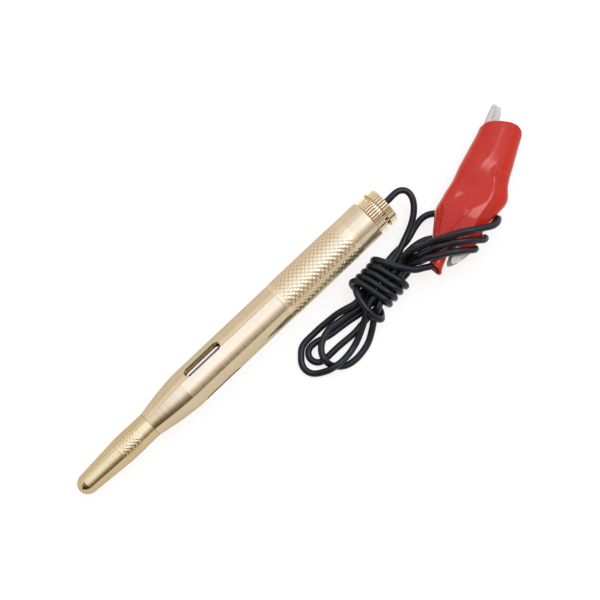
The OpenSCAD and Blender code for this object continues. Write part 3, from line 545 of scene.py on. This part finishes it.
# A ring's bevelled edge, from its end inwards: distance and loss of radius as shares of the bevel, and
# the flutes' depth as a share
RING_EDGE = [(0, 1, 1 - BEVEL / FLUTE_RADIUS), (0.4, 0.25, 0.9), (1, 0, 1)]


def fluted_ring(front, length):
    """The outline of a ring: place, radius, and share of the flutes' depth."""
    edge = [(BEVEL * inward, BARREL_RADIUS - BEVEL * loss, deep) for inward, loss, deep in RING_EDGE]
    return [(front + x, r, deep) for x, r, deep in edge] + [
        (front + length - x, r, deep) for x, r, deep in reversed(edge)]


def add_end_cap():
    """Two fluted rings with a narrow groove between, a spigot into the barrel and a bore."""
    angle = np.arange(END_CAP_FLUTES * FLUTE_STEPS) * 2 * np.pi / (END_CAP_FLUTES * FLUTE_STEPS)
    pitch = 2 * np.pi * BARREL_RADIUS / END_CAP_FLUTES
    off = np.abs((angle * END_CAP_FLUTES / (2 * np.pi)) % 1 - 0.5) * pitch
    hollow = np.sqrt(np.maximum(FLUTE_RADIUS**2 - off**2, 0))
    start = END_CAP_START
    middle = start + FRONT_RING
    rear = middle + RING_GROOVE
    outline = [(start - SPIGOT_LENGTH, BORE_RADIUS, 0), (start - SPIGOT_LENGTH, SPIGOT_RADIUS, 0),
               (start, SPIGOT_RADIUS, 0), *fluted_ring(start, FRONT_RING),
               (middle, GROOVE_RADIUS, 0), (rear, GROOVE_RADIUS, 0), *fluted_ring(rear, REAR_RING),
               (rear + REAR_RING, BORE_RADIUS, 0)]
    rows = np.array([round_pen(x, r - deep * hollow, angle) for x, r, deep in outline])
    piece = ringed_piece("end_cap_fluted", mm(rows), "test_light")
    piece.data.polygons.foreach_set("use_smooth", [False] * len(piece.data.polygons))
    piece.data.materials.append(end_brass)
    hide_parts("end_cap")


add_end_cap()


# The clip's boot. x runs along the clip from its pin, forwards at the jaws, y across it and z up.
def turn_matrix(axis, degrees):
    return np.array(Matrix.Rotation(math.radians(degrees), 3, axis))


CLIP_PLACE = np.array([87.0, -10.5, 6.0])
CLIP_TURN = turn_matrix("Z", 28.5) @ turn_matrix("Y", 4) @ turn_matrix("X", 10)

WALL = 0.5
AROUND, AROUND_TAIL = 160, 48
BOOT_FRONT, BOOT_REAR, BOOT_STEPS = 14, -24.5, 170
TAIL_FRONT, TAIL_REAR, TAIL_STEPS = -20.5, -32.8, 60
# Sections from the mouth back: place, middle across, half width, middle up, half height
BOOT_SECTIONS = [
    (16, -3.75, 6.0, 0.5, 4.6), (14, -3.7, 6.1, 0.5, 4.7), (9, -3.5, 6.4, 0.4, 4.9), (3.5, -3.1, 7, 0.3, 5.1),
    (-2.5, -2.7, 7.7, 0.2, 5.3), (-7, -3, 8.6, 0, 5.3), (-12, -1.5, 8.2, 0, 5.1), (-16, -0.3, 8, 0, 4.8),
    (-20, -0.1, 6.9, 0, 4.3), (-24.5, -0.2, 6.1, 0, 3.7), (-26, -0.2, 5.9, 0, 3.5),
]
TAIL_SECTIONS = [
    (-19.5, 4.0, 2.8, 0, 1.7), (-21.5, 3.6, 3.0, 0, 2.1), (-24.5, 3.2, 2.7, 0, 2.05),
    (-27, 2.75, 2.35, 0, 2.0), (-29, 2.5, 2.05, 0, 2.0), (-31.5, 2.5, 1.95, 0, 1.95),
    (-33.5, 2.5, 1.95, 0, 1.95), (-35.5, 2.5, 1.95, 0, 1.95),
]
# A superellipse's power gives how square a section is: the boot's, its rise towards the rear, the sleeve's
SQUARE_BOOT, SQUARE_RISE, SQUARE_TAIL = 2.3, 0.3, 2.6
# The mouth's rim: across, place
MOUTH_RIM = [(-9.9, 12.0), (-9.4, 12.8), (-8.7, 13.6), (-7.2, 14.3), (-5, 14.4), (-2.5, 13.9), (0, 13.2),
             (1.4, 12.6), (2.0, 11.9), (2.5, 11.0)]
# The flat-topped ridge that the lever raises under the boot's back: place, height
CREST = [(-24.5, 3.45), (-20, 3.95), (-16, 4.54), (-13.8, 4.72), (-9.7, 5.0), (-4, 5.33), (3, 5.25)]
# and place, right edge, left edge
RIDGE = [(-24.5, -2.6, 0.2), (-20, -3.6, -0.3), (-16, -4.4, -0.4), (-13.8, -5.0, -1.0), (-11.5, -5.4, -3.4),
         (-9.7, -5.8, -4.8), (-6.5, -6.9, -5.5), (-4, -6.5, -5.7), (3, -6, -5)]
TOP_SLOPE, LEFT_SLOPE = 0.05, 0.25
# How softly the skin bends on the ridge's top, at its left edge, and where the arm or the lever holds it off
BEND_TOP, BEND_LEFT, BEND_HELD = 0.25, 0.35, 0.3
# How far right and left of the ridge's right edge the hanging skin sets in
RIDGE_BLEND = (-0.6, 0.5)
# The fold that runs slantwise from the knee to the left edge: its place at the ridge, where across it
# starts to slant and how steeply, and the places before and behind it between which it lets the skin down
FOLD_PLACE, FOLD_EDGE, FOLD_SLANT = -0.3, -4.2, 0.95
FOLD_BEFORE, FOLD_BEHIND = 6.5, -5.5
# The fixed arm inside: place, left edge, and place, half height. The skin clears its top by ARM_CLEAR, and
# falls from ARM_BESIDE beyond its edge
ARM_EDGE = [(-22, 4.5), (-18, 4.6), (-3, 2.7), (3, 2.7)]
ARM_HALF = [(-20, 1.25), (-12, 2.2), (3.5, 2.2)]
ARM_CLEAR, ARM_BESIDE = 0.7, 0.4
# The lever inside: top of its swing, its left edge, how that runs out along x, and the skin's fall beyond
LEVER_TOP, LEVER_EDGE, LEVER_SPLAY, LEVER_FALL = 3.45, -0.6, 0.09, 1.4
# Bumps: height, place, reach. Two small knuckles above the lever's ears, then two at the creases' start
BUMPS = [(0.34, (-0.4, -4.6), 0.75), (0.22, (-1.6, -4.4), 0.6),
         (0.14, (-14.0, 1.0), 0.5), (-0.12, (-13.3, 0.0), 0.6)]
# Creases: height, start, end, half width. A hollow in front of the knuckles, thin creases behind the
# ridge, then the pinched fold at the left edge
CREASES = [(-0.22, (1.2, -9.6), (-0.2, -5.4), 1.2),
           (0.30, (-14.0, 0.3), (-24.1, 3.1), 0.34), (-0.16, (-16.6, 0.1), (-23.8, 2.1), 0.5),
           (-0.5, (-15.2, 6.7), (-24.4, 4.9), 0.36), (0.3, (-15.6, 7.3), (-24.0, 5.8), 0.5)]
CREASE_END = (-24.6, -22.5)
FLANK_DRAWN_IN, FLANK_REACH = 0.10, 1.15
UNDERSIDE_LIFT, UNDERSIDE_MIDDLE, UNDERSIDE_REACH = 0.5, 1.0, 3.0
SIDE_SWAY, SIDE_WAVES = 0.12, 0.55
# Where the mouth's pull ends, where the boot's rear end starts to slant and by how much
MOUTH_PULL_END, REAR_SLANT_START, REAR_SLANT = 3, -18, 0.5
# The sleeve's end: where its slant starts, its share across, where it flares and by how much
TAIL_SLANT_START, TAIL_SLANT_ACROSS, TAIL_FLARE_START, TAIL_FLARE = -27, 0.3, -31.8, 0.14
# How far the lips bulge in front and behind
BOOT_LIPS, TAIL_LIPS = (0.16, -0.16), (0.1, -0.18)


def clip_to_row(points):
    return np.asarray(points) @ CLIP_TURN.T + CLIP_PLACE


def section_at(table, x):
    """The columns of a table of sections at x, joined smoothly."""
    rows = np.array(sorted(table))
    i = np.clip(np.searchsorted(rows[:, 0], x, side="right") - 1, 0, len(rows) - 2)
    h = rows[i + 1, 0] - rows[i, 0]
    t = (x - rows[i, 0]) / h
    out = []
    for column in rows.T[1:]:
        slopes = np.gradient(column, rows[:, 0])
        out.append((2 * t**3 - 3 * t**2 + 1) * column[i] + (t**3 - 2 * t**2 + t) * h * slopes[i]
                   + (-2 * t**3 + 3 * t**2) * column[i + 1] + (t**3 - t**2) * h * slopes[i + 1])
    return out


def read_table(table, x, column=1):
    rows = np.array(table)
    return np.interp(x, rows[:, 0], rows[:, column])


def superellipse(section, angle, inset, square):
    cy, hy, cz, hz = section
    c, s = np.cos(angle), np.sin(angle)
    return (cy + (hy - inset) * np.sign(c) * np.abs(c) ** (2 / square),
            cz + (hz - inset) * np.sign(s) * np.abs(s) ** (2 / square))


def bump_at(x, y, at, radius):
    return np.exp(-((x - at[0]) ** 2 + (y - at[1]) ** 2) / radius**2)


def line_at(x, y, start, end, radius):
    """1 on the line from start to end, falling off sideways and at its ends."""
    d = np.subtract(end, start)
    length = np.hypot(*d)
    d = d / length
    along = (x - start[0]) * d[0] + (y - start[1]) * d[1]
    side = (x - start[0]) * -d[1] + (y - start[1]) * d[0]
    ends = smooth(-radius, radius, along) * smooth(-radius, radius, length - along)
    return np.exp(-(side / radius) ** 2) * ends


def soft_max(a, b, width):
    return (a + b + np.sqrt((a - b) ** 2 + width**2)) / 2


def boot_form(x, angle, inset):
    """The boot's skin: the CAD's tube, let down where nothing inside holds it up."""
    section = section_at(BOOT_SECTIONS, x)
    cy, hy, cz = section[:3]
    y, z = superellipse(section, angle, inset, SQUARE_BOOT + SQUARE_RISE * smooth(0, -12, x))
    height = z - cz
    top = height > 0
    rear = smooth(2, -9, x)
    right_edge, left_edge = read_table(RIDGE, x, 1), read_table(RIDGE, x, 2)

    # behind the fold the skin hangs from the ridge, but stays clear of the arm and of the lever's swing
    fold = FOLD_PLACE - np.maximum(y - FOLD_EDGE, 0) / FOLD_SLANT
    behind = smooth(FOLD_BEFORE, FOLD_BEHIND, x - fold)
    on_top = soft_max(np.minimum(y, left_edge) - right_edge, 0, BEND_TOP)
    down = soft_max(y - left_edge, 0, BEND_LEFT)
    slung = read_table(CREST, x) - inset - TOP_SLOPE * on_top - LEFT_SLOPE * down
    beside_arm = np.maximum(y - read_table(ARM_EDGE, x) - ARM_BESIDE, 0)
    beside_lever = np.maximum(y - LEVER_EDGE + LEVER_SPLAY * np.minimum(x, 0), 0)
    over_arm = read_table(ARM_HALF, x) + ARM_CLEAR - inset - beside_arm
    over_lever = LEVER_TOP - inset - LEVER_FALL * beside_lever
    slung = np.minimum(height, soft_max(slung, np.maximum(over_arm, over_lever), BEND_HELD))
    left = smooth(*RIDGE_BLEND, y - right_edge)
    back = height + (slung - height) * behind * left * smooth(0, 1.5, height)

    # the flank to the right of the ridge, drawn in a little below the lever's edge
    right = np.clip((right_edge - y) / (right_edge - (cy - hy)), 0, 1)
    back = back * (1 - FLANK_DRAWN_IN * rear * np.sin(np.pi * np.clip(right * FLANK_REACH, 0, 1)))

    dents = sum(high * bump_at(x, y, at, reach) for high, at, reach in BUMPS)
    creases = sum(high * line_at(x, y, start, end, half) for high, start, end, half in CREASES)
    dents = dents + creases * smooth(*CREASE_END, x)
    back = back + dents * smooth(0.1, 1.0, back)

    # underneath, the skin is drawn up a little between the arm and the lever
    lift = UNDERSIDE_LIFT * rear * np.exp(-((y - UNDERSIDE_MIDDLE) / UNDERSIDE_REACH) ** 2)
    belly = height + lift * smooth(0.1, 1.2, -height)

    # soft hollows along the sides
    sway = SIDE_SWAY * np.sin(x * SIDE_WAVES + 1.0) * rear
    return y + sway * np.sign(np.cos(angle)), cz + np.where(top, back, belly)


def boot_rows(inset):
    angle = np.linspace(0, 2 * np.pi, AROUND, endpoint=False)
    rows = []
    for place in np.linspace(BOOT_FRONT, BOOT_REAR, BOOT_STEPS):
        x = np.full(AROUND, place)
        y = boot_form(x, angle, inset)[0]
        x = x + (read_table(MOUTH_RIM, y) - BOOT_FRONT) * smooth(MOUTH_PULL_END, BOOT_FRONT, place)
        x = x - smooth(REAR_SLANT_START, BOOT_REAR, place) * REAR_SLANT * np.sin(angle + 0.6)
        rows.append(np.stack([x, *boot_form(x, angle, inset)], -1))
    return rows


def tail_rows(inset):
    """The sleeve round the lead, flared and cut aslant at its end."""
    angle = np.linspace(0, 2 * np.pi, AROUND_TAIL, endpoint=False)
    rows = []
    for place in np.linspace(TAIL_FRONT, TAIL_REAR, TAIL_STEPS):
        slant = np.cos(angle) + TAIL_SLANT_ACROSS * np.sin(angle)
        x = place + smooth(TAIL_SLANT_START, TAIL_REAR, place) * slant
        flare = TAIL_FLARE * smooth(TAIL_FLARE_START, TAIL_REAR, place)
        y, z = superellipse(section_at(TAIL_SECTIONS, x), angle, inset - flare, SQUARE_TAIL)
        rows.append(np.stack([x, y, z], -1))
    return rows


def lip(outer, inner, reach):
    """Rounds the edge between an outer and an inner ring, bulging by reach along the tube."""
    out = []
    for t in (0.2, 0.5, 0.8):
        ring = outer + (inner - outer) * t
        ring[:, 0] += reach * np.sin(np.pi * t)
        out.append(ring)
    return out


def tube(make_rows, front, back):
    """A tube with a wall, from the rows of its skin. front and back are how far its lips bulge."""
    outer, inner = make_rows(0), make_rows(WALL)
    return np.array(outer + lip(outer[-1], inner[-1], back) + inner[::-1] + lip(inner[0], outer[0], front))


def add_boot():
    points, faces = [], []
    first = 0
    for rows in (tube(boot_rows, *BOOT_LIPS), tube(tail_rows, *TAIL_LIPS)):
        # these rings turn the other way, so their faces do too
        faces.append(ring_quads(*rows.shape[:2])[:, [0, 3, 2, 1]] + first)
        points.append(rows.reshape(-1, 3))
        first += len(points[-1])
    placed = mm(clip_to_row(np.concatenate(points)))
    piece = mesh_piece("boot", placed, np.concatenate(faces), "test_light")
    piece.data.materials.append(boot_red)
    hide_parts("clip_boot")


add_boot()

# Floor, sky and lamp
FLOOR_REACH = 6
FLOOR_GLOW = 0.81


def add_floor():
    data = bpy.data.meshes.new("floor")
    corners = [(x * FLOOR_REACH, y * FLOOR_REACH, 0) for x, y in ((-1, -1), (1, -1), (1, 1), (-1, 1))]
    data.from_pydata(corners, [], [(0, 1, 2, 3)])
    floor = bpy.data.objects.new("floor", data)
    bpy.context.scene.collection.objects.link(floor)
    data.materials.append(Finish("floor", (0.2, 0.2, 0.2), Roughness=0.9, Specular_IOR_Level=0.1,
                                 Emission_Color=(1, 0.98, 0.95, 1), Emission_Strength=FLOOR_GLOW).material)


# The studio round the pen's long axis: degrees from straight up towards -Y, and colour. SWEEP is the
# paper round the object. CANOPY is the lit cloth above it with the dark gap at its edge. CANOPY_EDGES
# is where it starts, is full, still is full and is gone. CANOPY_SLANT turns it by so many degrees for 1
# of X. ALONG dims the canopy towards the pen's tip, and CARD lightens the gap where a card stands in it:
# X of the direction, and share. CARD_GLOW is the card's light by degrees.
SWEEP = [(-180, (0.94, 0.9, 0.86)), (-88, (0.97, 0.92, 0.87)), (-66, (1.17, 1.14, 1.12)),
         (-52, (1.34, 1.36, 1.4)), (-45, (1.3, 1.3, 1.3)), (-43, (0.7, 0.58, 0.48)), (62, (1.1, 1.07, 1.04)),
         (85, (1.1, 1.07, 1.04)), (180, (1, 0.97, 0.93))]
CANOPY = [(-60, (1.6, 1.8, 2.25)), (0, (1.7, 1.92, 2.45)), (12, (1.68, 1.88, 2.35)),
          (18, (1.46, 1.55, 1.79)), (24, (1.25, 1.26, 1.3)), (29.5, (0.99, 0.96, 0.96)),
          (36, (0.75, 0.69, 0.66)), (42, (0.54, 0.47, 0.43)), (48, (0.40, 0.34, 0.31)),
          (56, (0.27, 0.225, 0.2)), (120, (0.16, 0.13, 0.12))]
CANOPY_EDGES = [(-41.5, 0), (-40.5, 1), (61.5, 1), (63.5, 0)]
CANOPY_SLANT = 35.0
ALONG = [(-1, 0.3), (-0.9, 0.12), (-0.55, 0.12), (-0.48, (0.62, 0.56, 0.48)), (-0.4, (0.71, 0.64, 0.55)),
         (-0.2, (0.87, 0.845, 0.81)), (-0.08, 1)]
CARD = [(0.035, 0), (0.06, 1), (0.078, 1), (0.1, 0)]
CARD_GLOW = [(22, 0), (40, 0.5), (55, 0.6), (90, 0.6)]
BRIGHTEST = 2.5


def add_sky():
    world = bpy.data.worlds.new("studio")
    bpy.context.scene.world = world
    world.use_nodes = True
    g = Graph(world.node_tree)
    background = next(n for n in g.nodes if n.type == "BACKGROUND")
    place = g.nodes.new("ShaderNodeTexCoord")
    parts = g.nodes.new("ShaderNodeSeparateXYZ")
    g.links.new(place.outputs["Generated"], parts.inputs[0])

    def by_degrees(stops):
        return [((at + 180) / 360, colour) for at, colour in stops]

    def by_x(stops):
        return [((at + 1) / 2, colour) for at, colour in stops]

    def scaled(stops):
        return [(at, tuple(c / BRIGHTEST for c in colour)) for at, colour in stops]

    angle = g.math("ARCTAN2", g.math("MULTIPLY", parts.outputs["Y"], -1.0), parts.outputs["Z"])
    share = g.math("MULTIPLY_ADD", angle, 1 / (2 * math.pi), 0.5)
    along = g.math("MULTIPLY_ADD", parts.outputs["X"], 0.5, 0.5)
    slanted = g.math("ADD", share, g.math("MULTIPLY", parts.outputs["X"], -CANOPY_SLANT / 360))
    canopy = g.ramp(slanted, by_degrees(scaled(CANOPY)))
    canopy = g.mix("MULTIPLY", 1.0, canopy, g.ramp(along, by_x(ALONG)))
    glow = g.mix("MULTIPLY", 1.0, g.ramp(along, by_x(CARD)), g.ramp(slanted, by_degrees(CARD_GLOW)))
    canopy = g.mix("ADD", 1 / BRIGHTEST, canopy, glow)
    mask = g.ramp(share, by_degrees(CANOPY_EDGES))
    sweep = g.ramp(share, by_degrees(scaled(SWEEP)))
    g.links.new(g.mix("MIX", mask, sweep, canopy), background.inputs["Color"])
    background.inputs["Strength"].default_value = BRIGHTEST


def add_softbox(name, place, aim, size, power, colour):
    data = bpy.data.lights.new(name, "AREA")
    data.shape = "RECTANGLE"
    data.size, data.size_y = size
    data.energy = power
    data.color = colour
    light = bpy.data.objects.new(name, data)
    bpy.context.scene.collection.objects.link(light)
    light.location = place
    light.rotation_euler = (Vector(aim) - Vector(place)).to_track_quat("-Z", "Y").to_euler()


add_floor()
add_sky()
add_softbox("softbox", place=(0.58, -0.19, 1.3), aim=(0.08, -0.01, 0), size=(0.3, 0.24), power=3.2,
            colour=(0.92, 0.97, 1.12))
bpy.context.scene.view_settings.view_transform = "Standard"
